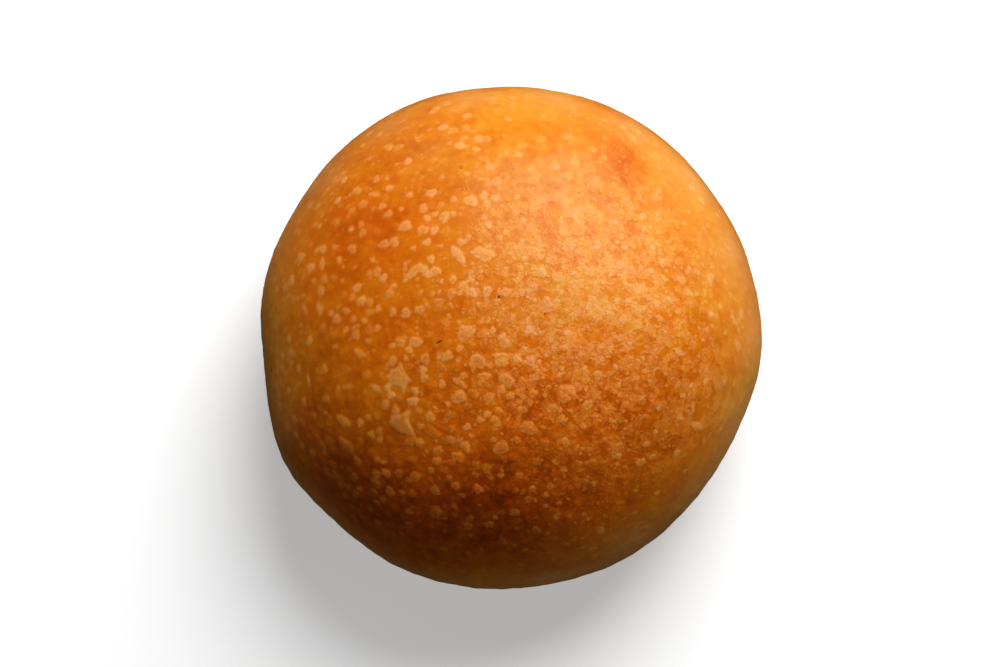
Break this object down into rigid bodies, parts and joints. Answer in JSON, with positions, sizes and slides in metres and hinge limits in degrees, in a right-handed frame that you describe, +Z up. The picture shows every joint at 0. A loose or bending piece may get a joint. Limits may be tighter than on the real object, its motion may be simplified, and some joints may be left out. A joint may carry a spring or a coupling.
{
  "type": "burger bun",
  "caption": "Uncut round burger bun: a domed, blistered golden crust over rounded sides that tuck in to a flat base.",
  "frame": {"origin": "on the flat base, under the middle of the bun's width and depth", "axes": "+Z up through the dome, +Y to the back, which is the top of the picture"},
  "size_m": [0.0998, 0.1006, 0.0541],
  "materials": {
    "crust": "golden brown baked crust with pale flaky blisters and a soft sheen, darker on the base"
  },
  "bodies": {
    "root": {"bun": "crust"}
  },
  "joints": []
}
